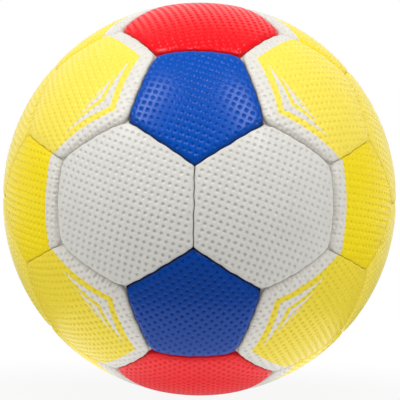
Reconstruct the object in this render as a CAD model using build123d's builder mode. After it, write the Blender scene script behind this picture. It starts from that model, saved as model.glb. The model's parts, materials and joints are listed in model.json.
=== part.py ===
from build123d import *

import os
from itertools import combinations, product
from math import asin, cos, degrees, floor, pi, radians, sin, sqrt, tan

# Handball of thirty-two sewn panels, in millimetres. The ball's centre is the origin, +Z is up and
# the two white panels that face the viewer share an upright seam on the -Y side.

# The ball and its panel sheet, from the outside in
ball_circumference = 550.0
skin_thickness = 1.0
foam_thickness = 1.6
lining_thickness = 1.0
glue_line = 0.05

# The seams: each panel's skin bends inwards and is sewn to its neighbour's
seam_gap = 0.2
flange_drop = 2.2
bend_radius = 1.4
corner_extra_radius = 1.2
notch_radius = 2.6

# The thread: two flat waxed runs, one on each side of a seam, that cross in every hole
stitch_pitch = 4.0
stitch_end_margin = 4.5
thread_width = 0.8
thread_thickness = 0.5
thread_tail = 1.0
crossing_diameter = 0.6
thread_clearance = 0.1

# The bladder
bladder_wall = 0.9
bladder_gap = 0.2

# The valve: a rubber seat bonded to the bladder, and a plug that draws out of it
valve_clearance = 0.15
seat_disc_diameter = 26.0
seat_disc_thickness = 1.2
seat_boss_diameter = 9.0
seat_boss_recess = 0.4
seat_neck_diameter = 8.0
seat_neck_length = 9.0
plug_clearance = 0.05
plug_head_diameter = 6.4
plug_head_thickness = 1.2
plug_stem_diameter = 5.0
plug_stem_length = 15.0
plug_tip_diameter = 3.4
plug_tip_length = 3.0
needle_hole_diameter = 2.0
needle_hole_depth = 10.0
needle_mouth_diameter = 2.8
needle_mouth_angle = 90.0
slit_width = 2.4
slit_opening = 0.15

# Cuts run this far past the material that they open
cut_overrun = 1.0

# A bend takes up no more than this share of the foam behind it
bend_limit_share = 0.9

# Radii from the ball's centre, layer by layer
ball_radius = ball_circumference / (2 * pi)
skin_inner_radius = ball_radius - skin_thickness
foam_outer_radius = skin_inner_radius - glue_line
foam_inner_radius = foam_outer_radius - foam_thickness
lining_outer_radius = foam_inner_radius - glue_line
lining_inner_radius = lining_outer_radius - lining_thickness
flange_tip_radius = lining_inner_radius - flange_drop
stitch_radius = (lining_inner_radius + flange_tip_radius) / 2
bladder_radius = flange_tip_radius - bladder_gap

# Distances from a seam's middle plane
skin_inset = seam_gap / 2
pocket_inset = skin_inset + skin_thickness
layer_inset = pocket_inset + glue_line
thread_offset = pocket_inset + thread_clearance + thread_thickness / 2

# Roundings of the nested layers, which share their centres
pocket_rim_radius = min(bend_radius, foam_thickness * bend_limit_share)
pocket_corner_radius = pocket_rim_radius + corner_extra_radius
skin_rim_radius = pocket_rim_radius + skin_thickness
skin_corner_radius = pocket_corner_radius + skin_thickness
foam_rim_radius = pocket_rim_radius - glue_line
layer_corner_radius = pocket_corner_radius - glue_line

# The panels are laid out on an icosahedron: a pentagon on each of its twelve points and a hexagon on
# each of its twenty faces, with every seam equally long
golden_ratio = (1 + sqrt(5)) / 2
points = []
for first, second in product((-1, 1), repeat=2):
    points.append(Vector(0, first * golden_ratio, second))
    points.append(Vector(first * golden_ratio, second, 0))
    points.append(Vector(first, 0, second * golden_ratio))


def all_joined(*group):
    """True where an edge of the icosahedron joins every two of these points."""
    return all(near.dot(far) > 0 for near, far in combinations(group, 2))


def panel_corner(point, towards):
    """The panel corner on the edge between two points, a third of the way along."""
    return (point * 2 + towards) / 3


edges = [pair for pair in combinations(points, 2) if all_joined(*pair)]
faces = [trio for trio in combinations(points, 3) if all_joined(*trio)]
seam_angle = panel_corner(*edges[0]).get_angle(panel_corner(*reversed(edges[0])))

# Stitch holes lie evenly about the middle of each seam and clear of its corners
stitch_run = stitch_radius * radians(seam_angle) - 2 * stitch_end_margin
stitch_count = floor(stitch_run / stitch_pitch) + 1
stitch_reach = degrees(stitch_pitch * (stitch_count - 1) / 2 / stitch_radius)
thread_reach = stitch_reach + degrees(thread_tail / stitch_radius)


def frame_towards(centre, side):
    """A plane at the ball's centre with z along centre and x turned to side."""
    upright = centre.normalized()
    return Plane(origin=(0, 0, 0), x_dir=side - upright * side.dot(upright), z_dir=upright)


def place_words(direction):
    """Where a panel lies, in words: front or back, upper or lower, left or right."""
    words = []
    for value, low, high in (
        (direction.Y, "front", "back"),
        (direction.Z, "lower", "upper"),
        (direction.X, "left", "right"),
    ):
        if abs(value) * golden_ratio**2 > direction.length / golden_ratio:
            words.append(high if value > 0 else low)
    return "_".join(words)


# A panel's own frame: z out of its middle and x to the middle of one of its seams
def seam_frames(sides):
    """A plane for each seam of a panel: x to the seam's middle and z out of the panel."""
    tilt = asin(tan(radians(seam_angle) / 2) / tan(pi / sides))
    frames = []
    for side in range(sides):
        middle = Vector(sin(tilt), 0, cos(tilt)).rotate(Axis.Z, 360 * side / sides)
        outward = Vector(cos(tilt), 0, -sin(tilt)).rotate(Axis.Z, 360 * side / sides)
        frames.append(Plane(origin=(0, 0, 0), x_dir=middle, z_dir=outward))
    return frames


def corner_directions(sides):
    """Directions from the ball's centre to a panel's corners."""
    frames = seam_frames(sides)
    return [
        frame.z_dir.cross(following.z_dir).normalized()
        for frame, following in zip(frames, frames[1:] + frames[:1])
    ]


def panel_layer(sides, inset, outer_radius, inner_radius, corner_radius, rim_radius=0):
    """A panel-shaped piece of a round shell, with rounded corners and, if asked, a rounded outer rim."""
    with BuildPart() as layer:
        # The spheres' poles point sideways, away from the panel
        Sphere(outer_radius, rotation=(0, 90, 0))
        Sphere(inner_radius, rotation=(0, 90, 0), mode=Mode.SUBTRACT)
        for frame in seam_frames(sides):
            split(bisect_by=frame.offset(-inset), keep=Keep.BOTTOM)
        fillet(layer.edges().filter_by(GeomType.LINE), corner_radius)
        if rim_radius > 0:
            fillet(layer.faces().sort_by(Axis.Z)[-1].edges(), rim_radius)
    return layer.part


def panel_skin(sides):
    """The skin of one panel: a shallow dish whose turned-in edge carries the stitch holes."""
    with BuildPart() as skin:
        add(panel_layer(
            sides, skin_inset, ball_radius, flange_tip_radius, skin_corner_radius, skin_rim_radius
        ))
        add(panel_layer(
            sides, pocket_inset, skin_inner_radius, flange_tip_radius - cut_overrun,
            pocket_corner_radius, pocket_rim_radius,
        ), mode=Mode.SUBTRACT)

        # The edge is notched at the corners, so that it doesn't bunch up there
        for direction in corner_directions(sides):
            with BuildSketch(Plane(origin=direction * lining_outer_radius, z_dir=-direction)):
                Circle(notch_radius)
            extrude(amount=lining_outer_radius - flange_tip_radius + cut_overrun, mode=Mode.SUBTRACT)

        # Stitch holes
        for frame in seam_frames(sides):
            with Locations(frame):
                with PolarLocations(
                    stitch_radius, stitch_count, -stitch_reach, 2 * stitch_reach, endpoint=True
                ):
                    Cylinder(
                        crossing_diameter / 2 + thread_clearance,
                        2 * (pocket_inset + cut_overrun),
                        mode=Mode.SUBTRACT,
                    )
    return skin.part


def panel_foam(sides):
    """The foam that fills a panel's dish."""
    return panel_layer(
        sides, layer_inset, foam_outer_radius, foam_inner_radius, layer_corner_radius, foam_rim_radius
    )


def panel_lining(sides):
    """The woven lining behind the foam."""
    return panel_layer(
        sides, layer_inset, lining_outer_radius, lining_inner_radius, layer_corner_radius
    )


def with_valve_hole(panel_piece):
    """A hexagon's layer with the hole that the valve seat comes up through."""
    with BuildPart() as pierced:
        add(panel_piece)
        Cylinder(
            seat_boss_diameter / 2 + valve_clearance,
            ball_radius + cut_overrun,
            align=(Align.CENTER, Align.CENTER, Align.MIN),
            mode=Mode.SUBTRACT,
        )
    return pierced.part


def write_pieces(name, frames, shape):
    """Writes one node: a copy of the shape in each of these frames."""
    with BuildPart() as pieces:
        with Locations(*frames):
            add(shape)
    pieces.part.label = name
    export_step(pieces.part, f"parts/{name}.step")


# Where the panels lie, what each is called and what colour it is
hexagon_places = {}
for trio in faces:
    centre = trio[0] + trio[1] + trio[2]
    place = place_words(centre)
    if "upper" not in place and "lower" not in place:
        colour = "white"
    elif "left" not in place and "right" not in place:
        colour = "red"
    else:
        colour = "yellow"
    hexagon_places[f"{colour}_hexagon_{place}"] = frame_towards(centre, trio[0] + trio[1])

pentagon_places = {}
for point in points:
    place = place_words(point)
    colour = "yellow" if "left" in place or "right" in place else "blue"
    neighbour = next(other for other in points if other != point and all_joined(point, other))
    pentagon_places[f"{colour}_pentagon_{place}"] = frame_towards(point, -neighbour)

# The valve is in the red hexagon behind the ball's top
valve_panel = "red_hexagon_back_upper"
valve_frame = hexagon_places[valve_panel]
plain_hexagon_frames = [frame for name, frame in hexagon_places.items() if name != valve_panel]
pentagon_frames = list(pentagon_places.values())

os.makedirs("parts", exist_ok=True)

# Panel skins, one node each
hexagon_skin = panel_skin(6)
pentagon_skin = panel_skin(5)
for name, frame in hexagon_places.items():
    write_pieces(name, [frame], with_valve_hole(hexagon_skin) if name == valve_panel else hexagon_skin)
for name, frame in pentagon_places.items():
    write_pieces(name, [frame], pentagon_skin)

# Foam and lining
hexagon_foam = panel_foam(6)
write_pieces("hexagon_foams", plain_hexagon_frames, hexagon_foam)
write_pieces("valve_hexagon_foam", [valve_frame], with_valve_hole(hexagon_foam))
write_pieces("pentagon_foams", pentagon_frames, panel_foam(5))
hexagon_lining = panel_lining(6)
write_pieces("hexagon_linings", plain_hexagon_frames, hexagon_lining)
write_pieces("valve_hexagon_lining", [valve_frame], with_valve_hole(hexagon_lining))
write_pieces("pentagon_linings", pentagon_frames, panel_lining(5))

# The thread of one seam, with x to the seam's middle and z across the seam
thread_start = Plane(
    origin=(0, 0, 0),
    x_dir=Vector(1, 0, 0).rotate(Axis.Z, -thread_reach),
    z_dir=Vector(0, -1, 0).rotate(Axis.Z, -thread_reach),
)
with BuildPart() as seam_thread:
    with BuildSketch(thread_start):
        with Locations((stitch_radius, -thread_offset), (stitch_radius, thread_offset)):
            Rectangle(thread_width, thread_thickness)
    revolve(axis=Axis.Z, revolution_arc=2 * thread_reach)
    with PolarLocations(stitch_radius, stitch_count, -stitch_reach, 2 * stitch_reach, endpoint=True):
        Cylinder(crossing_diameter / 2, 2 * thread_offset)

hexagon_seam_frames = []
for near, far in edges:
    hexagon_seam_frames.append(
        Plane(origin=(0, 0, 0), x_dir=near + far, z_dir=(near + far).cross(far - near))
    )
pentagon_seam_frames = []
for point in points:
    for near, far in edges:
        if point not in (near, far) and all_joined(point, near, far):
            middle = panel_corner(point, near) + panel_corner(point, far)
            pentagon_seam_frames.append(
                Plane(origin=(0, 0, 0), x_dir=middle, z_dir=middle.cross(far - near))
            )
write_pieces("hexagon_seam_threads", hexagon_seam_frames, seam_thread.part)
write_pieces("pentagon_seam_threads", pentagon_seam_frames, seam_thread.part)

# Heights along the valve's axis, from the ball's centre
seat_disc_inner_radius = bladder_radius + glue_line
seat_disc_outer_radius = seat_disc_inner_radius + seat_disc_thickness
seat_top = ball_radius - seat_boss_recess
seat_bottom = seat_disc_inner_radius - seat_neck_length
plug_shoulder = seat_top - plug_head_thickness
plug_bottom = plug_shoulder - plug_stem_length
needle_hole_bottom = seat_top - needle_hole_depth

# The bladder, with the hole that the valve seat's neck hangs through
with BuildPart() as bladder:
    Sphere(bladder_radius)
    Sphere(bladder_radius - bladder_wall, mode=Mode.SUBTRACT)
    with Locations(valve_frame):
        Cylinder(
            seat_neck_diameter / 2 + valve_clearance,
            ball_radius,
            align=(Align.CENTER, Align.CENTER, Align.MIN),
            mode=Mode.SUBTRACT,
        )
bladder.part.label = "bladder"
export_step(bladder.part, "parts/bladder.step")

# The valve seat: a disc on the bladder, a boss up through the panel and a neck down into the ball
with BuildPart(valve_frame) as valve_seat:
    Sphere(seat_disc_outer_radius)
    Sphere(seat_disc_inner_radius, mode=Mode.SUBTRACT)
    Cylinder(
        seat_disc_diameter / 2,
        ball_radius,
        align=(Align.CENTER, Align.CENTER, Align.MIN),
        mode=Mode.INTERSECT,
    )
    with BuildSketch(valve_frame.offset(seat_top)):
        Circle(seat_boss_diameter / 2)
    extrude(amount=seat_disc_inner_radius - seat_top)
    with BuildSketch(valve_frame.offset(seat_bottom)):
        Circle(seat_neck_diameter / 2)
    extrude(amount=seat_disc_inner_radius - seat_bottom)
    with Locations((0, 0, seat_top)):
        CounterBoreHole(
            plug_stem_diameter / 2 + plug_clearance,
            plug_head_diameter / 2 + plug_clearance,
            plug_head_thickness + plug_clearance,
            depth=seat_top - seat_bottom + cut_overrun,
        )
valve_seat.part.label = "valve_seat"
export_step(valve_seat.part, "parts/valve_seat.step")

# The valve plug: head, stem and tapered tip, with the needle's hole and a slit that shuts by itself
valve_section = Plane(
    origin=(0, 0, 0), x_dir=valve_frame.x_dir, z_dir=valve_frame.x_dir.cross(valve_frame.z_dir)
)
with BuildPart() as valve_plug:
    with BuildSketch(valve_section):
        with BuildLine():
            Polyline(
                (0, seat_top),
                (plug_head_diameter / 2, seat_top),
                (plug_head_diameter / 2, plug_shoulder),
                (plug_stem_diameter / 2, plug_shoulder),
                (plug_stem_diameter / 2, plug_bottom + plug_tip_length),
                (plug_tip_diameter / 2, plug_bottom),
                (0, plug_bottom),
                close=True,
            )
        make_face()
    revolve(axis=Axis((0, 0, 0), valve_frame.z_dir))
    with Locations(valve_frame.offset(seat_top)):
        CounterSinkHole(
            needle_hole_diameter / 2, needle_mouth_diameter / 2, needle_hole_depth, needle_mouth_angle
        )
    with BuildSketch(valve_frame.offset(needle_hole_bottom)):
        Rectangle(slit_width, slit_opening)
    extrude(amount=plug_bottom - needle_hole_bottom - cut_overrun, mode=Mode.SUBTRACT)
valve_plug.part.label = "valve_plug"
export_step(valve_plug.part, "parts/valve_plug.step")

# What the ball measures
mouth_depth = (needle_mouth_diameter - needle_hole_diameter) / 2 / tan(radians(needle_mouth_angle) / 2)
print("ball diameter", 2 * ball_radius)
print("stitches in a seam", stitch_count)
print("valve axis", valve_frame.z_dir)
print("needle hole from", seat_top - mouth_depth, "to", needle_hole_bottom)
print("plug length", seat_top - plug_bottom)
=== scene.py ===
import json
import math
from itertools import combinations, permutations

import bmesh
import bpy
import numpy as np
from mathutils import Matrix, Vector


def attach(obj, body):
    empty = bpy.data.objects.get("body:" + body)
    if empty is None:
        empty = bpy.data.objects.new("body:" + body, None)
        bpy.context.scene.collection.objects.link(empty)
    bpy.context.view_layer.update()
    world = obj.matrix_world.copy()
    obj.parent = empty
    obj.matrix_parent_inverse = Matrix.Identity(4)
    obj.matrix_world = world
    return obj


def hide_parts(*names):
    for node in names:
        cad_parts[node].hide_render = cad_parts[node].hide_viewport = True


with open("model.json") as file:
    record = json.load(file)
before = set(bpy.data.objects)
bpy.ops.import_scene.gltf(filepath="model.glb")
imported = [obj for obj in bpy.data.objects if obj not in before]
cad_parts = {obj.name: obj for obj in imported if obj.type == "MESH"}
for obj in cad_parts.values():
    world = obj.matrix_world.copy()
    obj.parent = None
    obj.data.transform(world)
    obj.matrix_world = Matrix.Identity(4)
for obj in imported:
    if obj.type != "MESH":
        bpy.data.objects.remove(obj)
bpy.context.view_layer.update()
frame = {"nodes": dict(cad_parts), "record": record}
mounts = {mount["name"]: mount for mount in frame["record"]["mounts"]}
ballRadius = -mounts["ball_stand"]["pos_m"][2]
valveAxis = Vector(mounts["needle_port"]["axis"]).normalized()
mm = 0.001
goldenRatio = (1 + math.sqrt(5)) / 2
print("frame loaded, ball radius", round(ballRadius / mm, 2), "mm")


# Panel layout: a ball of 20 hexagons and 12 pentagons, white pair facing the front
frontWords = {-1: "front", 0: "", 1: "back"}
heightWords = {-1: "lower", 0: "", 1: "upper"}
sideWords = {-1: "left", 0: "", 1: "right"}
touchingReach = 2.1  # star points that touch are 2 apart, all others more


def signOf(value):
    return 0 if abs(value) < 1e-6 else int(math.copysign(1, value))


def placeName(colour, shape, centre):
    places = [frontWords[signOf(centre.y)], heightWords[signOf(centre.z)], sideWords[signOf(centre.x)]]
    return "_".join(word for word in (colour, shape, *places) if word)


def panelAxes(centre):
    outward = centre.normalized()
    upward = (Vector((0, 0, 1)) - outward * outward.z).normalized()
    return upward.cross(outward), upward, outward


def aroundCentre(points, centre):
    across, upward, outward = panelAxes(centre)
    return sorted(points, key=lambda point: math.atan2(point.dot(upward), point.dot(across)))


def panelLayout():
    signs = (-1, 1)
    starPoints = [Vector((0, a * goldenRatio, b)) for a in signs for b in signs]
    starPoints += [Vector((a * goldenRatio, b, 0)) for a in signs for b in signs]
    starPoints += [Vector((a, 0, b * goldenRatio)) for a in signs for b in signs]
    numbers = range(len(starPoints))
    touching = set()
    for i, j in combinations(numbers, 2):
        if (starPoints[i] - starPoints[j]).length < touchingReach:
            touching.add(frozenset((i, j)))
    panels = []
    for i, point in enumerate(starPoints):
        near = [starPoints[j] for j in numbers if frozenset((i, j)) in touching]
        corners = aroundCentre([(point * 2 + other) / 3 for other in near], point)
        colour = "blue" if point.x == 0 else "yellow"
        panels.append({"colour": colour, "shape": "pentagon", "centre": point, "corners": corners})
    for trio in combinations(numbers, 3):
        if all(frozenset(pair) in touching for pair in combinations(trio, 2)):
            centre = sum((starPoints[i] for i in trio), Vector()) / 3
            corners = [(starPoints[i] * 2 + starPoints[j]) / 3 for i, j in permutations(trio, 2)]
            flat = [signOf(value) == 0 for value in centre]
            colour = "white" if flat[2] else "red" if flat[0] else "yellow"
            corners = aroundCentre(corners, centre)
            panels.append({"colour": colour, "shape": "hexagon", "centre": centre, "corners": corners})
    for panel in panels:
        panel["name"] = placeName(panel["colour"], panel["shape"], panel["centre"])
        panel["corners"] = [corner.normalized() for corner in panel["corners"]]
        panel["axes"] = panelAxes(panel["centre"])
    return panels


# Embossed cover: how the skin of every panel is pressed, rolled over and sewn
cover = {
    "dimplePitch": 3.04 * mm,
    "dimpleWidth": 2.1 * mm,
    "dimpleDepth": 0.56 * mm,
    "floorShare": 0.57,  # width of the dimple's floor
    "wallPower": 2,  # higher is a flatter floor and a steeper wall
    "stepsPerDimple": 8,
    "slideSteps": ((0.8, 1.6), (1.8, 2.9)),  # grid steps that slide to the floor's edge and the rim
    "dimpleFade": (0.9 * mm, 2.1 * mm),  # distances from the seam between which the dimples come up
    "shoulders": {  # own colour, then the neighbour's: width and drop of the rolled edge, soiling and painted shade in the seam
        ("white", "white"): (1.6 * mm, 0.25 * mm, 0.55),
        ("white", "blue"): (1.8 * mm, 0.3 * mm, 0.5),
        ("white", "yellow"): (1.6 * mm, 0.3 * mm, 0.1),
        ("blue", "white"): (3.4 * mm, 1.3 * mm, 1.0),
        ("blue", "yellow"): (3.0 * mm, 0.8 * mm, 0.9),
        ("blue", "red"): (2.8 * mm, 0.7 * mm, 0.5),
        ("yellow", "white"): (4.2 * mm, 1.8 * mm, 0.55),
        ("yellow", "blue"): (2.6 * mm, 0.5 * mm, 0.6),
        ("yellow", "red"): (2.6 * mm, 0.5 * mm, 0.3),
        ("yellow", "yellow"): (2.6 * mm, 0.28 * mm, 0.3),
        ("red", "blue"): (3.6 * mm, 1.2 * mm, 0.6),
        ("red", "yellow"): (3.2 * mm, 1.0 * mm, 0.5),
        ("red", "red"): (3.0 * mm, 0.8 * mm, 0.5),
    },
    "soilAndShadeShare": 0.2,  # reach of the seam's soiling and painted shade, as a share of the shoulder's width
    "shoulderPower": 2.2,
    "growth": {"white": 1.4 * mm, "blue": 1.5 * mm},  # these stiffer panels push their corners outwards
    # the first of the two bulges into the second
    "seamBows": {("white", "yellow"): 0.5 * mm, ("blue", "red"): 1.1 * mm},
    "creaseWidth": 0.18 * mm,
    "creaseDrops": {"sharp": 1.2 * mm, "soft": 0.45 * mm},  # soft between two yellow panels
    "crownDrop": 0.25 * mm,
    "crownReach": 6.0 * mm,
    "cornerSoftness": (0.35 * mm, 1.3 * mm),  # at the ends of the white pair's own seam, then elsewhere
    "sharpReach": (2 * mm, 9 * mm),
    "pullRange": (-4 * mm, 80 * mm),  # distances from a seam that count for its pull
    "seamGap": 0.09 * mm,  # half of the slit between two panels
    "trimSnap": 0.0001 * mm,
    "edgeLines": (0.22 * mm, 0.5 * mm, 1.0 * mm),  # rows of points kept parallel to the seam
    "lineSnap": 0.03 * mm,
    "phaseSpread": 40,  # sets the wave of one seam apart from the next
    "stitchPitch": 4.0 * mm,
    "stitchPull": 0.22 * mm,
    "stitchReach": 1.2 * mm,
    "wrinklePitch": 1.9 * mm,
    "wrinkleDepths": {"white": 0.03 * mm, "blue": 0.07 * mm, "red": 0.09 * mm, "yellow": 0.34 * mm},
    "wrinklePower": 3,
    "wrinkleUneven": 0.35,
    "wrinkleWaves": (2.1 * mm, 3.3 * mm),
    "wrinkleSway": 1.1,
    "wrinkleSwayLength": 2.7 * mm,
    # soiling and painted shade in the wrinkle grooves, for each metre of groove depth
    "wrinkleSoil": 0.6 / mm,
    "wrinkleMiddle": 1.0 * mm,
    "wrinkleReach": 2.4 * mm,
    "seamWave": 0.12 * mm,
    "seamDrift": 0.08 * mm,
    "driftLength": 17 * mm,
    "swayReach": 2.5 * mm,
    "cornerRoom": 6 * mm,
    "edgeDepth": 4.2 * mm,
    "skinThickness": 1.0 * mm,
    "coarseStep": 2.6 * mm,
    # share of the way to the middle, then depth below the ball's surface
    "undersideRings": ((0, 2.35 * mm), (0.05, 1.0 * mm), (0.33, 1.0 * mm), (0.5, 1.0 * mm)),
    "lipShare": 1.2,  # of the skin's thickness
    "valveHole": 4.65 * mm,
    "valveZoneShare": 1.5,  # of the hole, where an open edge is the hole's
    "holeSnapShare": 0.3,  # of a grid step
    "valveDip": 0.35 * mm,
    "valveDipReach": 0.7 * mm,
    "valveFade": (0.5 * mm, 2.0 * mm),
}

# Turn of the dimple rows, in degrees from the panel's own level line
rowTurns = {
    "white_hexagon_front_left": 73, "white_hexagon_front_right": 70,
    "blue_pentagon_front_upper": 70, "blue_pentagon_front_lower": 35,
    "red_hexagon_front_upper": 14, "red_hexagon_front_lower": 43,
    "yellow_hexagon_front_upper_left": 48, "yellow_hexagon_front_upper_right": 6,
    "yellow_hexagon_front_lower_left": 7, "yellow_hexagon_front_lower_right": 52,
    "yellow_pentagon_front_left": 83, "yellow_pentagon_front_right": 83,
}
turnStep = 37  # other panels are cut at any turn
shiftSteps = (0.37, 0.61)  # shares of a dimple by which the rows start later from panel to panel


def smoothStep(low, high, values):
    share = np.clip((values - low) / (high - low), 0, 1)
    return share * share * (3 - 2 * share)


def edgePlanes(panel):
    corners, outward = panel["corners"], panel["axes"][2]
    planes = [first.cross(second).normalized() for first, second in zip(corners, corners[1:] + corners[:1])]
    return [-plane if plane.dot(outward) > 0 else plane for plane in planes]


def cornerKey(corner):
    return tuple(round(value, 4) for value in corner)


def growPanels(panels):
    # a corner that two or three panels share moves once, so that they still meet
    pushes = {}
    for panel in panels:
        push = cover["growth"].get(panel["colour"], 0) / ballRadius
        for corner in panel["corners"]:
            outward = panel["axes"][2]
            away = (corner - outward * corner.dot(outward)).normalized() * push
            key = cornerKey(corner)
            pushes[key] = pushes.get(key, Vector()) + away
    for panel in panels:
        moved = [corner + pushes[cornerKey(corner)] for corner in panel["corners"]]
        panel["corners"] = [corner.normalized() for corner in moved]


def neighbourColour(panel, middle, panels):
    others = [other for other in panels if other is not panel]
    return min(others, key=lambda other: other["axes"][2].angle(middle) / other["reach"])["colour"]


def seamsOf(panel, panels):
    corners, outward = panel["corners"], panel["axes"][2]
    lean = Vector((0.31, 0.52, 0.79))  # gives both panels of a seam the same running direction
    names = "middles alongs acrosses phases halves bows widths drops soils creases"
    seams = {name: [] for name in names.split()}
    seams["normals"] = edgePlanes(panel)
    for first, second in zip(corners, corners[1:] + corners[:1]):
        middle = (first + second).normalized()
        along = (second - first).normalized()
        along = -along if along.dot(lean) < 0 else along
        pair = (panel["colour"], neighbourColour(panel, middle, panels))
        width, drop, soilAndShade = cover["shoulders"][pair]
        seams["middles"].append(middle)
        seams["alongs"].append(along)
        seams["acrosses"].append(middle.cross(along))
        seams["phases"].append(cover["phaseSpread"] * middle.dot(lean))
        seams["halves"].append(ballRadius * first.angle(second) / 2)
        seams["bows"].append(cover["seamBows"].get(pair, 0) - cover["seamBows"].get(pair[::-1], 0))
        seams["widths"].append(width)
        seams["drops"].append(drop)
        seams["soils"].append(soilAndShade)
        seams["creases"].append(cover["creaseDrops"]["soft" if pair == ("yellow", "yellow") else "sharp"])
    stiff = panel["colour"] in ("white", "blue")
    sharp = [corner for corner in corners if stiff and signOf(corner.x) == 0]
    seams["sharpCorners"] = sharp or [-outward]
    return {key: np.array(values) for key, values in seams.items()}


def seamPlaces(directions, seams):
    distances = -ballRadius * np.arcsin(np.clip(directions @ seams["normals"].T, -1, 1))
    sharp, rounded = cover["cornerSoftness"]
    fromSharp = ballRadius * np.arccos(np.clip((directions @ seams["sharpCorners"].T).max(axis=1), -1, 1))
    softness = (sharp + (rounded - sharp) * smoothStep(*cover["sharpReach"], fromSharp))[:, None]
    pulls = np.exp(-np.clip(distances, *cover["pullRange"]) / softness)
    soft = np.maximum(-softness[:, 0] * np.log(pulls.sum(axis=1)), 0)
    nearest = distances.argmin(axis=1)
    along = (directions * seams["alongs"][nearest]).sum(axis=1)
    middle = (directions * seams["middles"][nearest]).sum(axis=1)
    run = np.arctan2(along, middle)
    return {
        "soft": soft, "bare": distances.min(axis=1), "nearest": nearest, "run": ballRadius * run,
        "shares": pulls / pulls.sum(axis=1)[:, None],
    }


def flatPlaces(directions, axes):
    across, upward, outward = (np.array(axis) for axis in axes)
    reach = np.arccos(np.clip(directions @ outward, -1, 1))
    stretch = ballRadius * reach / np.maximum(np.sin(reach), 1e-9)
    return stretch * (directions @ across), stretch * (directions @ upward)


def rowShift(index):
    return tuple((index * step) % 1 for step in shiftSteps)


def pressDimples(directions, panel, fade):
    x, y = flatPlaces(directions, panel["axes"])
    turn = math.radians(panel["turn"])
    cosine, sine = math.cos(turn), math.sin(turn)
    pitch = cover["dimplePitch"]
    fromRow = (((x * cosine + y * sine) / pitch + panel["shift"][0]) % 1 - 0.5) * pitch
    fromLine = (((y * cosine - x * sine) / pitch + panel["shift"][1]) % 1 - 0.5) * pitch
    distance = np.hypot(fromRow, fromLine)
    # points near the floor's edge and the rim slide on to these circles, which keeps both crisp
    rim = cover["dimpleWidth"] / 2
    step = pitch / cover["stepsPerDimple"]
    circle = distance.copy()
    for radius, (low, high) in zip((rim * cover["floorShare"], rim), cover["slideSteps"]):
        circle[(distance > low * step) & (distance < high * step)] = radius
    slide = (circle / np.maximum(distance, 1e-9) - 1) * fade
    across, upward = (np.array(axis) for axis in panel["axes"][:2])
    aside = (fromRow * cosine - fromLine * sine) * slide
    above = (fromRow * sine + fromLine * cosine) * slide
    moved = directions * ballRadius + aside[:, None] * across + above[:, None] * upward
    pressed = np.maximum(1 - (circle / rim) ** cover["wallPower"], 0) * fade
    return moved / np.linalg.norm(moved, axis=1)[:, None], pressed


def edgeFall(places, seams):
    near = np.maximum(1 - places["soft"][:, None] / seams["widths"], 0) ** cover["shoulderPower"]
    fall = (places["shares"] * seams["drops"] * near).sum(axis=1)
    crease = (places["shares"] * seams["creases"]).sum(axis=1)
    fall += crease * np.exp(-places["soft"] / cover["creaseWidth"])
    return fall + cover["crownDrop"] * np.exp(-places["soft"] / cover["crownReach"])


def seamBulge(places, seams):
    nearest = places["nearest"]
    bow = seams["bows"][nearest] * np.maximum(1 - (places["run"] / seams["halves"][nearest]) ** 2, 0)
    bow *= np.exp(-np.maximum(places["bare"], 0) / cover["swayReach"])
    return seams["normals"][nearest] * bow[:, None]


def shapeCover(positions, panel, seams):
    directions = positions / np.linalg.norm(positions, axis=1)[:, None]
    places = seamPlaces(directions, seams)
    soft, nearest, run = places["soft"], places["nearest"], places["run"]
    height = -edgeFall(places, seams)
    fade = smoothStep(*cover["dimpleFade"], soft)
    if panel["valve"]:
        fromAxis = ballRadius * np.arccos(np.clip(directions @ np.array(valveAxis), -1, 1))
        fromValve = fromAxis - cover["valveHole"]
        fade *= smoothStep(*cover["valveFade"], fromValve)
        height -= cover["valveDip"] * np.exp(-np.maximum(fromValve, 0) / cover["valveDipReach"])
    # soiling and painted shade along the seam, fading away from it
    soilAndShadeFade = np.exp(-soft[:, None] / (cover["soilAndShadeShare"] * seams["widths"]))
    soilAndShade = (places["shares"] * seams["soils"] * soilAndShadeFade).sum(axis=1)
    directions, dimple = pressDimples(directions, panel, fade)
    height -= cover["dimpleDepth"] * dimple
    # thread pulls the edge down at every stitch, and the skin gathers in short wrinkles across the seam
    phase = seams["phases"][nearest]
    stitch = 2 * math.pi * run / cover["stitchPitch"]
    height -= cover["stitchPull"] * (0.5 + 0.5 * np.cos(stitch)) ** 2 * np.exp(-soft / cover["stitchReach"])
    shortWave, longWave = cover["wrinkleWaves"]
    beat = np.sin(run / shortWave + phase) * np.sin(run / longWave + 2 * phase)
    uneven = 1 - cover["wrinkleUneven"] * (1 - beat)
    bend = cover["wrinkleSway"] * np.sin(run / cover["wrinkleSwayLength"] + phase)
    wrinkle = (0.5 + 0.5 * np.cos(2 * math.pi * run / cover["wrinklePitch"] + bend)) ** cover["wrinklePower"]
    fall = np.exp(-((soft - cover["wrinkleMiddle"]) / cover["wrinkleReach"]) ** 2)
    groove = cover["wrinkleDepths"][panel["colour"]] * wrinkle * uneven * fall
    height -= groove
    # the wrinkle grooves take soiling and painted shade too
    soilAndShade = np.minimum(soilAndShade + cover["wrinkleSoil"] * groove, 1)
    # the seam line wanders a little, and bulges where a stiff panel meets a softer one
    drift = np.sin(2 * math.pi * run / cover["driftLength"] + phase)
    sway = cover["seamWave"] * np.sin(stitch / 2 + phase) + cover["seamDrift"] * drift
    half = seams["halves"][nearest]
    sway *= smoothStep(0, cover["cornerRoom"], np.maximum(half - np.abs(run), 0))
    sway *= np.exp(-np.maximum(places["bare"], 0) / cover["swayReach"])
    aside = seams["acrosses"][nearest] * sway[:, None] + seamBulge(places, seams)
    return directions * (ballRadius + height)[:, None] + aside, dimple, soilAndShade


def ringInwards(bm, edges, axis, share, radius):
    made = bmesh.ops.extrude_edge_only(bm, edges=edges)["geom"]
    ring = [item for item in made if isinstance(item, bmesh.types.BMVert)]
    for vert in ring:
        vert.co = vert.co.normalized().lerp(axis, share).normalized() * radius
    return ring


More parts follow.
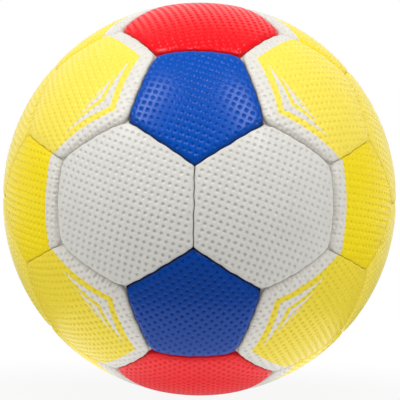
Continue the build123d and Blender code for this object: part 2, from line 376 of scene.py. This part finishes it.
def rimEdges(bm, axis, inner=False):
    # the valve hole's edge, or else the panel's own
    middle = math.cos(cover["valveZoneShare"] * cover["valveHole"] / ballRadius)
    rim = [edge for edge in bm.edges if edge.is_boundary]
    return [edge for edge in rim if (edge.verts[0].co.normalized().dot(axis) > middle) == inner]


def cutBeside(bm, normal, inset, snap, trim=False):
    everything = bm.verts[:] + bm.edges[:] + bm.faces[:]
    cut = Vector(normal)
    bmesh.ops.bisect_plane(
        bm, geom=everything, dist=snap, plane_co=cut * -inset, plane_no=cut, clear_outer=trim
    )


def trimToSeams(bm, seams):
    for normal in seams["normals"]:
        cutBeside(bm, normal, cover["seamGap"], cover["trimSnap"], trim=True)


def addEdgeLines(bm, seams):
    for normal in seams["normals"]:
        for inset in cover["edgeLines"]:
            cutBeside(bm, normal, inset, cover["lineSnap"])


def cutValveHole(bm, axis):
    reach = cover["valveHole"] / ballRadius
    step = cover["dimplePitch"] / cover["stepsPerDimple"] / ballRadius
    inside = [vert for vert in bm.verts if vert.co.angle(axis) < reach - cover["holeSnapShare"] * step]
    bmesh.ops.delete(bm, geom=inside, context="VERTS")
    rim = {vert for edge in rimEdges(bm, axis, inner=True) for vert in edge.verts}
    for vert in rim:
        sideways = (vert.co - axis * vert.co.dot(axis)).normalized()
        vert.co = (axis * math.cos(reach) + sideways * math.sin(reach)) * ballRadius


def closeUnderside(bm, panel):
    axis = panel["axes"][2]
    wall = cover["skinThickness"] / (ballRadius * panel["reach"])
    if panel["valve"]:
        ringInwards(bm, rimEdges(bm, axis, inner=True), axis, 0, ballRadius - cover["skinThickness"])
    ringInwards(bm, rimEdges(bm, axis), axis, 0, ballRadius - cover["edgeDepth"])
    lip = ringInwards(bm, rimEdges(bm, axis), axis, cover["lipShare"] * wall, ballRadius - cover["edgeDepth"])
    bmesh.ops.remove_doubles(bm, verts=lip, dist=cover["coarseStep"])
    for share, depth in cover["undersideRings"]:
        ringInwards(bm, rimEdges(bm, axis), axis, share, ballRadius - depth)
    if panel["valve"]:
        bmesh.ops.bridge_loops(bm, edges=[*rimEdges(bm, axis), *rimEdges(bm, axis, inner=True)])
    else:
        last = ringInwards(bm, rimEdges(bm, axis), axis, 0, ballRadius - cover["skinThickness"])
        bmesh.ops.pointmerge(bm, verts=last, merge_co=axis * (ballRadius - cover["skinThickness"]))


def makePanel(panel):
    seams = panel["seams"]
    across, upward, outward = panel["axes"]
    step = cover["dimplePitch"] / cover["stepsPerDimple"]
    cells = 2 * math.ceil(ballRadius * panel["reach"] / step + 2)
    bm = bmesh.new()
    bmesh.ops.create_grid(bm, x_segments=cells, y_segments=cells, size=cells * step / 2)
    shift = [-(share * cover["stepsPerDimple"] % 1) * step for share in panel["shift"]]
    bmesh.ops.translate(bm, verts=bm.verts[:], vec=(*shift, 0))
    bmesh.ops.rotate(bm, verts=bm.verts[:], matrix=Matrix.Rotation(math.radians(panel["turn"]), 3, "Z"))
    outside = [vert for vert in bm.verts if vert.co.length > ballRadius * panel["reach"] + step]
    bmesh.ops.delete(bm, geom=outside, context="VERTS")
    for vert in bm.verts:
        angle = vert.co.length / ballRadius
        bend = math.sin(angle) / angle if angle else 1
        vert.co = (across * vert.co.x + upward * vert.co.y) * bend + outward * ballRadius * math.cos(angle)
    trimToSeams(bm, seams)
    addEdgeLines(bm, seams)
    if panel["valve"]:
        cutValveHole(bm, outward)
    bm.verts.index_update()
    # the dimple depth and the seam's soiling and painted shade go to the material as point attributes
    dimpleLayer = bm.verts.layers.float.new("dimple")
    soilAndShadeLayer = bm.verts.layers.float.new("soilAndShade")
    shaped = shapeCover(np.array([vert.co for vert in bm.verts]), panel, seams)
    for vert, spot, depth, dirtAndShade in zip(bm.verts, *shaped):
        vert.co = spot
        vert[dimpleLayer] = depth
        vert[soilAndShadeLayer] = dirtAndShade
    closeUnderside(bm, panel)
    bmesh.ops.recalc_face_normals(bm, faces=bm.faces[:])
    mesh = bpy.data.meshes.new(panel["name"] + "_cover")
    bm.to_mesh(mesh)
    bm.free()
    mesh.shade_smooth()
    spots = np.empty(len(mesh.vertices) * 3)
    mesh.vertices.foreach_get("co", spots)
    notePlaces(mesh, spots.reshape(-1, 3), panel)
    piece = bpy.data.objects.new(panel["name"] + "_cover", mesh)
    bpy.context.collection.objects.link(piece)
    return piece


# Printed yellow panels: sizes in mm on the flat panel, from its middle to the corner of white and blue
stripePrint = {
    "cornerTurn": 22.23,  # degrees from the panel's level line to that corner
    "borderTip": 27.7, "borderSlope": 0.64, "redBorder": 26.9,
    "lineBow": 0.0038,  # straight lines on the flat panel bend this much on the ball
    "edgeStrip": 16.4,  # from a pentagon's middle to its white edge strip
    "chevrons": (  # tip along, tip across, outer elbow, inner elbow, all in mm
        (11.35, 21.45, 24.13, 18.97),
        (12.1, 12.9, 16.68, 14.4),
        (12.0, 6.6, 13.5, 12.75),
    ),
    "inkEdge": 0.12,
    "leastDepth": 0.1,  # in ball radii
    "unprinted": -99.0,
}


def printPlaces(directions, panel):
    # mirrored on to one panel of its kind, so that the print is handed like the ball
    sides = np.array([signOf(value) for value in panel["centre"]])
    if panel["shape"] == "hexagon" and all(sides):
        folded = directions * sides * np.array([-1, -1, 1])
        across, upward, outward = (np.array(axis) for axis in panelAxes(Vector((-1, -1, 1))))
        depth = np.maximum(folded @ outward, stripePrint["leastDepth"])
        x, y = (ballRadius / mm * (folded @ axis) / depth for axis in (across, upward))
        turn = math.radians(stripePrint["cornerTurn"])
        return x * math.cos(turn) - y * math.sin(turn), x * math.sin(turn) + y * math.cos(turn)
    # pentagons: distance towards the striped edges
    outward = np.array(panel["axes"][2])
    depth = np.maximum(directions @ outward, stripePrint["leastDepth"])
    towards = np.full(len(directions), stripePrint["unprinted"])
    for heading in panel.get("striped", []):
        aim = np.array((heading - panel["axes"][2] * heading.dot(panel["axes"][2])).normalized())
        towards = np.maximum(towards, ballRadius / mm * (directions @ aim) / depth)
    return towards, np.zeros(len(directions))


def notePlaces(mesh, spots, panel):
    directions = spots / np.linalg.norm(spots, axis=1)[:, None]
    x, y = printPlaces(directions, panel)
    places = mesh.attributes.new("panelPlace", "FLOAT_VECTOR", "POINT")
    places.data.foreach_set("vector", np.stack([x, y, np.zeros(len(x))], axis=1).ravel())


# Node helpers
def addNode(tree, kind, **settings):
    node = tree.nodes.new(kind)
    for key, value in settings.items():
        setattr(node, key, value)
    return node


def feed(tree, socket, value):
    if isinstance(value, bpy.types.NodeSocket):
        tree.links.new(value, socket)
    else:
        socket.default_value = value


def mathOf(tree, operation, first, second=0.0, third=0.0, clamp=False):
    node = addNode(tree, "ShaderNodeMath", operation=operation, use_clamp=clamp)
    for socket, value in zip(node.inputs, (first, second, third)):
        feed(tree, socket, value)
    return node.outputs[0]


def rampOf(tree, value, fromLow, fromHigh, toLow=0.0, toHigh=1.0):
    node = addNode(tree, "ShaderNodeMapRange", interpolation_type="SMOOTHSTEP")
    entries = {"Value": value, "From Min": fromLow, "From Max": fromHigh, "To Min": toLow, "To Max": toHigh}
    for name, entry in entries.items():
        feed(tree, node.inputs[name], entry)
    return node.outputs[0]


def mixColours(tree, share, first, second):
    node = addNode(tree, "ShaderNodeMix", data_type="RGBA")
    feed(tree, node.inputs[0], share)
    feed(tree, node.inputs[6], first)
    feed(tree, node.inputs[7], second)
    return node.outputs[2]


def noiseOf(tree, coordinates, scale, detail=2.0, roughness=0.5):
    node = addNode(tree, "ShaderNodeTexNoise")
    feed(tree, node.inputs["Vector"], coordinates)
    node.inputs["Scale"].default_value = scale
    node.inputs["Detail"].default_value = detail
    node.inputs["Roughness"].default_value = roughness
    return node.outputs[0]


def newGroup(name, inputs, outputs):
    group = bpy.data.node_groups.new(name, "ShaderNodeTree")
    for direction, sockets in (("INPUT", inputs), ("OUTPUT", outputs)):
        for label, kind in sockets.items():
            group.interface.new_socket(name=label, in_out=direction, socket_type="NodeSocket" + kind)
    return group, addNode(group, "NodeGroupInput").outputs, addNode(group, "NodeGroupOutput").inputs


def placeGroup(tree, group, **values):
    node = addNode(tree, "ShaderNodeGroup", node_tree=group)
    for label, value in values.items():
        feed(tree, node.inputs[label], value)
    return node.outputs


def attributeOf(tree, name, output):
    return addNode(tree, "ShaderNodeAttribute", attribute_name=name).outputs[output]


def linearLight(part):
    # the usual curve from a screen value to light
    return part / 12.92 if part <= 0.04045 else ((part + 0.055) / 1.055) ** 2.4


def hexColour(code):
    parts = [int(code[i:i + 2], 16) / 255 for i in (0, 2, 4)]
    return (*map(linearLight, parts), 1.0)


# Coated skin: fine grain, soft mottling, soiling and painted shade in the seams, wrinkle grooves and dimples
skinTexture = {  # scales are spots per metre
    "noiseEdges": (0.3, 0.7),
    "mottleScale": 90,
    "mottleDetail": 3,
    "mottleShare": 0.03,
    "grainScale": 2600,
    "grainBreakUp": 0.6,
    "grainRoughness": 0.1,
    "pebbleScale": 1500,
    "pebbleShare": 0.6,
    "dimpleSoilAndShadeShare": 0.1,  # of the darker colour in the dimples: soiling and painted shade
    # noise that breaks up the seam's soiling and painted shade
    "soilAndShadeScale": 420,
    "leastSoilShare": 0.6,
}


def coatedSkinGroup():
    tree, given, result = newGroup(
        "coatedSkin",
        {"Colour": "Color", "Crease": "Color", "Soil": "Float", "Dimple": "Float", "Gloss": "Float"},
        {"Colour": "Color", "Roughness": "Float", "Height": "Float"},
    )
    coordinates = addNode(tree, "ShaderNodeTexCoord").outputs["Object"]
    edges = skinTexture["noiseEdges"]
    patches = noiseOf(tree, coordinates, skinTexture["mottleScale"], detail=skinTexture["mottleDetail"])
    mottle = rampOf(tree, patches, *edges, 0.0, skinTexture["mottleShare"])
    grain = noiseOf(tree, coordinates, skinTexture["grainScale"], roughness=skinTexture["grainBreakUp"])
    pebble = addNode(tree, "ShaderNodeTexVoronoi", feature="SMOOTH_F1")
    feed(tree, pebble.inputs["Vector"], coordinates)
    pebble.inputs["Scale"].default_value = skinTexture["pebbleScale"]
    worn = mixColours(tree, mottle, given["Colour"], given["Crease"])
    # dimples darkened towards the darker colour: soiling and painted shade
    dimpleSoilAndShade = mathOf(tree, "MULTIPLY", given["Dimple"], skinTexture["dimpleSoilAndShadeShare"])
    pressed = mixColours(tree, dimpleSoilAndShade, worn, given["Crease"])
    # seams and wrinkle grooves darkened, unevenly: soiling and painted shade
    soilAndShadeBreakUp = noiseOf(tree, coordinates, skinTexture["soilAndShadeScale"])
    unevenSoil = rampOf(tree, soilAndShadeBreakUp, *edges, skinTexture["leastSoilShare"], 1.0)
    seamSoilAndShade = mathOf(tree, "MULTIPLY", given["Soil"], unevenSoil)
    feed(tree, result["Colour"], mixColours(tree, seamSoilAndShade, pressed, given["Crease"]))
    rough = mathOf(tree, "MULTIPLY_ADD", grain, skinTexture["grainRoughness"], given["Gloss"], clamp=True)
    feed(tree, result["Roughness"], rough)
    pebbled = mathOf(tree, "MULTIPLY_ADD", pebble.outputs["Distance"], skinTexture["pebbleShare"], grain)
    feed(tree, result["Height"], pebbled)
    return tree


def chevronGroup():
    labels = ("Along", "Across", "TipAlong", "TipAcross", "Outer", "Inner")
    tree, given, result = newGroup("printedChevron", dict.fromkeys(labels, "Float"), {"Mask": "Float"})
    share = mathOf(tree, "DIVIDE", given["Across"], given["TipAcross"])
    toTip = mathOf(tree, "SUBTRACT", given["TipAcross"], given["Across"])
    sag = mathOf(tree, "MULTIPLY", mathOf(tree, "MULTIPLY", toTip, given["Across"]), stripePrint["lineBow"])
    ink = stripePrint["inkEdge"]
    masks = []
    for elbow, side in (("Outer", 1), ("Inner", -1)):
        fall = mathOf(tree, "MULTIPLY", mathOf(tree, "SUBTRACT", given["TipAlong"], given[elbow]), share)
        line = mathOf(tree, "SUBTRACT", mathOf(tree, "ADD", given[elbow], fall), sag)
        inside = mathOf(tree, "MULTIPLY", mathOf(tree, "SUBTRACT", line, given["Along"]), side)
        masks.append(rampOf(tree, inside, -ink, ink))
    feed(tree, result["Mask"], mathOf(tree, "MULTIPLY", masks[0], masks[1]))
    return tree


coverColours = {  # skin, then a darker colour for the mottling and for soiling and painted shade in seams, wrinkle grooves and dimples
    "white": ("E0DED8", "4A4238"),
    "strip": ("E5E2DA", "847A67"),
    "yellow": ("FDE85A", "D2B61C"),
    # darker, less pale copy of the yellow for the lower chevron panels: painted shade
    "shadedYellow": ("F6DF3F", "D2B61C"),
    "deepYellow": ("FDE41E", "D2B61C"),
    "red": ("F8141F", "5A0A10"),
    # darker copy of the blue for the lower pentagons: painted shade
    "blue": ("0550B8", "020C28"),
    "shadedBlue": ("0342A0", "020A22"),
}
coverFinish = {"gloss": 0.21, "grainStrength": 0.35, "grainDepth": 0.03 * mm, "specular": 0.22}


def printMask(tree, places, kind):
    along, across = places.outputs["X"], places.outputs["Y"]
    ink = stripePrint["inkEdge"]
    if kind == "edge":
        return rampOf(tree, along, stripePrint["edgeStrip"] - ink, stripePrint["edgeStrip"] + ink)
    width = mathOf(tree, "ABSOLUTE", across)
    leaned = mathOf(tree, "MULTIPLY_ADD", width, stripePrint["borderSlope"], along)
    squared = mathOf(tree, "POWER", width, 2.0)
    leaned = mathOf(tree, "MULTIPLY_ADD", squared, -stripePrint["lineBow"], leaned)
    mask = rampOf(tree, leaned, stripePrint["borderTip"] - ink, stripePrint["borderTip"] + ink)
    redSide = rampOf(tree, across, stripePrint["redBorder"] - ink, stripePrint["redBorder"] + ink)
    mask = mathOf(tree, "MAXIMUM", mask, redSide)
    for tipAlong, tipAcross, outer, inner in stripePrint["chevrons"]:
        chevron = placeGroup(
            tree, groups["chevron"], Along=along, Across=width,
            TipAlong=tipAlong, TipAcross=tipAcross, Outer=outer, Inner=inner,
        )
        mask = mathOf(tree, "MAXIMUM", mask, chevron["Mask"])
    return mask


def coverMaterial(name, colour, kind=None):
    material = bpy.data.materials.new(name)
    material.use_nodes = True
    tree = material.node_tree
    shader = tree.nodes["Principled BSDF"]
    places = addNode(tree, "ShaderNodeSeparateXYZ")
    feed(tree, places.inputs[0], attributeOf(tree, "panelPlace", "Vector"))
    # the second colour is the darker one for soiling and painted shade
    skin, crease = (hexColour(code) for code in coverColours[colour])
    if kind:
        mask = printMask(tree, places, kind)
        inkSkin, inkCrease = (hexColour(code) for code in coverColours["strip"])
        skin = mixColours(tree, mask, skin, inkSkin)
        crease = mixColours(tree, mask, crease, inkCrease)
    surface = placeGroup(
        tree, groups["skin"], Colour=skin, Crease=crease, Gloss=coverFinish["gloss"],
        Soil=attributeOf(tree, "soilAndShade", "Fac"), Dimple=attributeOf(tree, "dimple", "Fac"),
    )
    bump = addNode(tree, "ShaderNodeBump")
    bump.inputs["Strength"].default_value = coverFinish["grainStrength"]
    bump.inputs["Distance"].default_value = coverFinish["grainDepth"]
    feed(tree, bump.inputs["Height"], surface["Height"])
    feed(tree, shader.inputs["Base Color"], surface["Colour"])
    feed(tree, shader.inputs["Roughness"], surface["Roughness"])
    feed(tree, shader.inputs["Normal"], bump.outputs[0])
    shader.inputs["Specular IOR Level"].default_value = coverFinish["specular"]
    return material


groups = {"skin": coatedSkinGroup(), "chevron": chevronGroup()}
coverMaterials = {
    "white": coverMaterial("whiteSkin", "white"),
    "red": coverMaterial("redSkin", "red"),
    "blue": coverMaterial("blueSkin", "blue"),
    # darker blue for the lower pentagons: painted shade
    "shadedBlue": coverMaterial("shadedBlueSkin", "shadedBlue"),
    "yellow": coverMaterial("yellowSkin", "yellow"),
    "chevron": coverMaterial("yellowSkinWithChevrons", "yellow", "chevron"),
    # darker yellow for the lower chevron panels: painted shade
    "shadedChevron": coverMaterial("shadedYellowSkinWithChevrons", "shadedYellow", "chevron"),
    "edge": coverMaterial("yellowSkinWithEdgeStrip", "deepYellow", "edge"),
}
print("cover materials made")

sameDirection = 0.01  # radians
panels = panelLayout()
for panel in panels:
    panel["evenPlanes"] = np.array(edgePlanes(panel))
growPanels(panels)
for panel in panels:
    panel["reach"] = max(panel["axes"][2].angle(corner) for corner in panel["corners"])
redWhite = [panel["centre"] for panel in panels if panel["colour"] in ("red", "white")]
for index, panel in enumerate(panels):
    centre = panel["centre"]
    panel["turn"] = rowTurns.get(panel["name"], (index * turnStep) % 90)
    panel["shift"] = rowShift(index)
    panel["valve"] = panel["axes"][2].angle(valveAxis) < sameDirection
    finish = panel["colour"]
    if finish == "yellow" and panel["shape"] == "pentagon":
        sharing = 2 * panel["reach"]
        panel["striped"] = [other for other in redWhite if centre.angle(other) < sharing]
        finish = "edge"
    elif finish == "yellow" and all(signOf(value) for value in centre):
        # the lower chevron panels take the darker yellow: painted shade
        finish = "chevron" if centre.z > 0 else "shadedChevron"
    elif finish == "blue" and centre.z < 0:
        # the lower blue pentagons take the darker blue: painted shade
        finish = "shadedBlue"
    panel["seams"] = seamsOf(panel, panels)
    piece = makePanel(panel)
    piece.data.materials.append(coverMaterials[finish])
    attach(piece, "ball")
    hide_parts(panel["name"])
print("panels made:", len(panels))


# Inner pieces: thread, bladder and valve keep their solids, foam and lining are fitted under the covers
def plainGroup():
    tree, given, result = newGroup(
        "flecked",
        {"Colour": "Color", "Fleck": "Color", "Scale": "Float", "Amount": "Float"},
        {"Colour": "Color", "Height": "Float"},
    )
    coordinates = addNode(tree, "ShaderNodeTexCoord").outputs["Object"]
    noise = addNode(tree, "ShaderNodeTexNoise")
    feed(tree, noise.inputs["Vector"], coordinates)
    feed(tree, noise.inputs["Scale"], given["Scale"])
    spots = rampOf(tree, noise.outputs[0], *innerTexture["fleckEdges"])
    share = mathOf(tree, "MULTIPLY", spots, given["Amount"])
    feed(tree, result["Colour"], mixColours(tree, share, given["Colour"], given["Fleck"]))
    feed(tree, result["Height"], noise.outputs[0])
    return tree


innerFinishes = {  # colour, fleck colour, fleck scale, fleck amount, roughness
    "foam": ("E9E4D4", "CFC6AE", 900, 0.7, 0.9),
    "lining": ("D9D4C6", "A9A292", 1700, 0.8, 0.85),
    "thread": ("E8E4DA", "B8B09C", 2500, 0.6, 0.6),
    "bladder": ("262422", "3A3632", 500, 0.5, 0.55),
    "valveSeat": ("D8D3C6", "B5AE9C", 700, 0.5, 0.5),
    "valvePlug": ("262422", "45413C", 900, 0.5, 0.45),
}
innerTexture = {"fleckEdges": (0.45, 0.65), "bumpStrength": 0.4, "bumpDepth": 0.05 * mm}
innerNodes = {
    "foam": ("hexagon_foams", "valve_hexagon_foam", "pentagon_foams"),
    "lining": ("hexagon_linings", "valve_hexagon_lining", "pentagon_linings"),
    "thread": ("hexagon_seam_threads", "pentagon_seam_threads"),
    "bladder": ("bladder",),
    "valveSeat": ("valve_seat",),
    "valvePlug": ("valve_plug",),
}
innerLayers = {
    "skinOver": 1.0 * mm,  # skin above the foam
    "inset": 1.6 * mm,  # from the seam to the layers behind the skin
    "foamFloor": 2.5 * mm,  # the foam is pressed no deeper than this below the ball's surface
    "weld": 0.001 * mm,
}
fittedLayers = (*innerNodes["foam"], *innerNodes["lining"])


def fitLayer(name):
    # the layer's own solid, drawn in from the seams and pressed down under the rolled edges
    bm = bmesh.new()
    bm.from_mesh(frame["nodes"][name].data)
    bmesh.ops.remove_doubles(bm, verts=bm.verts[:], dist=innerLayers["weld"])
    spots = np.array([vert.co for vert in bm.verts])
    radii = np.linalg.norm(spots, axis=1)
    directions = spots / radii[:, None]
    outside = [(directions @ panel["evenPlanes"].T).max(axis=1) for panel in panels]
    owners = np.argmin(outside, axis=0)
    for index, panel in enumerate(panels):
        mine = np.flatnonzero(owners == index)
        if len(mine):
            places = seamPlaces(directions[mine], panel["seams"])
            overlap = np.maximum(innerLayers["inset"] - places["bare"], 0) / ballRadius
            drawn = directions[mine] - panel["seams"]["normals"][places["nearest"]] * overlap[:, None]
            drawn /= np.linalg.norm(drawn, axis=1)[:, None]
            places = seamPlaces(drawn, panel["seams"])
            under = edgeFall(places, panel["seams"]) + innerLayers["skinOver"]
            limit = ballRadius - np.minimum(under, innerLayers["foamFloor"])
            pressed = drawn * np.minimum(radii[mine], limit)[:, None]
            spots[mine] = pressed + seamBulge(places, panel["seams"])
    for vert, spot in zip(bm.verts, spots):
        vert.co = spot
    mesh = bpy.data.meshes.new(name + "_fitted")
    bm.to_mesh(mesh)
    bm.free()
    piece = bpy.data.objects.new(name + "_fitted", mesh)
    bpy.context.collection.objects.link(piece)
    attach(piece, "ball")
    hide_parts(name)
    return piece


groups["flecked"] = plainGroup()
for finish, (colour, fleck, scale, amount, roughness) in innerFinishes.items():
    material = bpy.data.materials.new(finish)
    material.use_nodes = True
    tree = material.node_tree
    shader = tree.nodes["Principled BSDF"]
    flecked = placeGroup(
        tree, groups["flecked"], Colour=hexColour(colour), Fleck=hexColour(fleck), Scale=scale, Amount=amount
    )
    bump = addNode(tree, "ShaderNodeBump")
    bump.inputs["Strength"].default_value = innerTexture["bumpStrength"]
    bump.inputs["Distance"].default_value = innerTexture["bumpDepth"]
    feed(tree, bump.inputs["Height"], flecked["Height"])
    feed(tree, shader.inputs["Base Color"], flecked["Colour"])
    feed(tree, shader.inputs["Normal"], bump.outputs[0])
    shader.inputs["Roughness"].default_value = roughness
    for name in innerNodes[finish]:
        piece = frame["nodes"][name]
        if name in fittedLayers:
            piece = fitLayer(name)
        piece.data.materials.clear()
        piece.data.materials.append(material)
print("inner layers finished")


# Floor, light and camera
studio = {
    "floorSize": 8.0,
    "floorTone": 0.2,
    "floorRoughness": 0.9,
    "floorSpecular": 0.1,
    "floorShadow": 0.08,  # how much of its own shading the camera sees on the white floor beside the ball
    "shadowReach": (0.05, 0.22),  # metres from the ball over which that shading fades out
    "bounceReach": (0.08, 0.26),  # metres over which the light that the floor throws back falls off
    "bounce": (1.2, 0.06),  # its share under the ball and away from it, cut off at 1
    "mirrorReach": (0.086, 0.112),  # the same as the ball's gloss shows it
    "mirror": (1.35, 0.02),
    "contactReach": (0.03, 0.052),  # metres from the contact point, where the floor is dark in reflections
    "contactTone": 0.25,
    "whiteFrom": (0.0, 0.6),  # metres behind the ball where the floor is plain white in reflections
    "backdropFrom": (0.2, 0.8),  # the white backdrop stands behind the ball, the room in front is dimmer
    "roomTone": 0.04,
    "roomLight": 0.06,
    "softboxes": (  # place in ball radii, width and height in metres, watts
        ((-7.9, -6.9, 12.0), (0.26, 0.9), 9.7),
        ((6.7, -8.2, 12.0), (0.26, 0.9), 9.7),
    ),
    "fills": (  # white boards at both sides and behind, which give no glare
        ((-10, -4, 3), (0.6, 0.6), 3.2),
        ((10, -4, 3), (0.6, 0.6), 3.2),
        ((0, 10, 6), (1.0, 1.0), 4.0),
    ),
}


def lightPaths(tree):
    path = addNode(tree, "ShaderNodeLightPath").outputs
    reflected = mathOf(tree, "MAXIMUM", path["Is Glossy Ray"], path["Is Transmission Ray"])
    return path["Is Camera Ray"], reflected


def mixValues(tree, share, first, second):
    node = addNode(tree, "ShaderNodeMix", data_type="FLOAT")
    feed(tree, node.inputs[0], share)
    feed(tree, node.inputs[2], first)
    feed(tree, node.inputs[3], second)
    return node.outputs[0]


def makeFloor():
    bm = bmesh.new()
    bmesh.ops.create_grid(bm, x_segments=2, y_segments=2, size=studio["floorSize"])
    bmesh.ops.translate(bm, verts=bm.verts[:], vec=(0, 0, -ballRadius))
    mesh = bpy.data.meshes.new("floor")
    bm.to_mesh(mesh)
    bm.free()
    floor = bpy.data.objects.new("floor", mesh)
    bpy.context.collection.objects.link(floor)
    material = bpy.data.materials.new("whiteFloor")
    material.use_nodes = True
    tree = material.node_tree
    shader = tree.nodes["Principled BSDF"]
    shader.inputs["Base Color"].default_value = (*[studio["floorTone"]] * 3, 1)
    shader.inputs["Roughness"].default_value = studio["floorRoughness"]
    shader.inputs["Specular IOR Level"].default_value = studio["floorSpecular"]
    glow = addNode(tree, "ShaderNodeEmission")
    mix = addNode(tree, "ShaderNodeMixShader")
    spot = addNode(tree, "ShaderNodeVectorMath", operation="DISTANCE")
    coordinates = addNode(tree, "ShaderNodeTexCoord").outputs["Object"]
    feed(tree, spot.inputs[0], coordinates)
    spot.inputs[1].default_value = (0, 0, -ballRadius)
    away = spot.outputs["Value"]
    seen = rampOf(tree, away, *studio["shadowReach"], 1 - studio["floorShadow"], 1.0)
    thrown = rampOf(tree, away, *studio["bounceReach"], *studio["bounce"])
    mirrored = rampOf(tree, away, *studio["mirrorReach"], *studio["mirror"])
    contact = rampOf(tree, away, *studio["contactReach"], studio["contactTone"], 1.0)
    mirrored = mathOf(tree, "MULTIPLY", mirrored, contact)
    heading = addNode(tree, "ShaderNodeSeparateXYZ")
    feed(tree, heading.inputs[0], coordinates)
    behind = rampOf(tree, heading.outputs["Y"], *studio["whiteFrom"])
    mirrored = mathOf(tree, "MAXIMUM", mirrored, behind)
    camera, reflected = lightPaths(tree)
    feed(tree, glow.inputs["Strength"], mixValues(tree, reflected, 1.0, mirrored))
    feed(tree, mix.inputs[0], mixValues(tree, camera, mixValues(tree, reflected, thrown, 1.0), seen))
    tree.links.new(shader.outputs[0], mix.inputs[1])
    tree.links.new(glow.outputs[0], mix.inputs[2])
    tree.links.new(mix.outputs[0], tree.nodes["Material Output"].inputs[0])
    mesh.materials.append(material)


def makeLamp(name, place, size, power):
    lamp = bpy.data.lights.new(name, "AREA")
    lamp.shape = "RECTANGLE"
    lamp.size, lamp.size_y = size
    lamp.energy = power
    piece = bpy.data.objects.new(name, lamp)
    piece.location = Vector(place) * ballRadius
    piece.rotation_euler = (-piece.location).to_track_quat("-Z", "Y").to_euler()
    bpy.context.collection.objects.link(piece)
    return piece


def makeLight():
    world = bpy.data.worlds.new("whiteRoom")
    bpy.context.scene.world = world
    world.use_nodes = True
    tree = world.node_tree
    background = tree.nodes["Background"]
    background.inputs["Color"].default_value = (1, 1, 1, 1)
    heading = addNode(tree, "ShaderNodeSeparateXYZ")
    feed(tree, heading.inputs[0], addNode(tree, "ShaderNodeTexCoord").outputs["Generated"])
    backdrop = rampOf(tree, heading.outputs["Y"], *studio["backdropFrom"], studio["roomTone"], 1.0)
    camera, reflected = lightPaths(tree)
    strength = mixValues(tree, reflected, studio["roomLight"], backdrop)
    feed(tree, background.inputs["Strength"], mixValues(tree, camera, strength, 1.0))
    for index, lamp in enumerate(studio["softboxes"]):
        makeLamp("softbox" + str(index), *lamp)
    for index, lamp in enumerate(studio["fills"]):
        makeLamp("fillBoard" + str(index), *lamp).visible_glossy = False


view = {
    "ballTurn": (2.239, 1.024, -1.548),  # degrees about X, Y and Z from square-on
    "distance": 18.28,  # in ball radii
    "focalPixels": 3590.6,
    "imagePixels": 400,
    "centrePixel": (199.48, 198.95),
    "sensorWidth": 36.0,
    "clipEnd": 100,
}


def makeCamera():
    lens = bpy.data.cameras.new("camera")
    lens.sensor_width = view["sensorWidth"]
    lens.lens = view["focalPixels"] * view["sensorWidth"] / view["imagePixels"]
    lens.shift_x = 0.5 - view["centrePixel"][0] / view["imagePixels"]
    lens.shift_y = view["centrePixel"][1] / view["imagePixels"] - 0.5
    lens.clip_end = view["clipEnd"]
    camera = bpy.data.objects.new("camera", lens)
    turn = Vector(math.radians(angle) for angle in view["ballTurn"])
    back = Matrix.Rotation(-turn.length, 4, turn.normalized())
    away = Matrix.Translation((0, -view["distance"] * ballRadius, 0))
    camera.matrix_world = back @ away @ Matrix.Rotation(math.pi / 2, 4, "X")
    bpy.context.collection.objects.link(camera)
    bpy.context.scene.camera = camera


makeFloor()
makeLight()
makeCamera()
bpy.context.scene.view_settings.view_transform = "Standard"
print("studio ready")
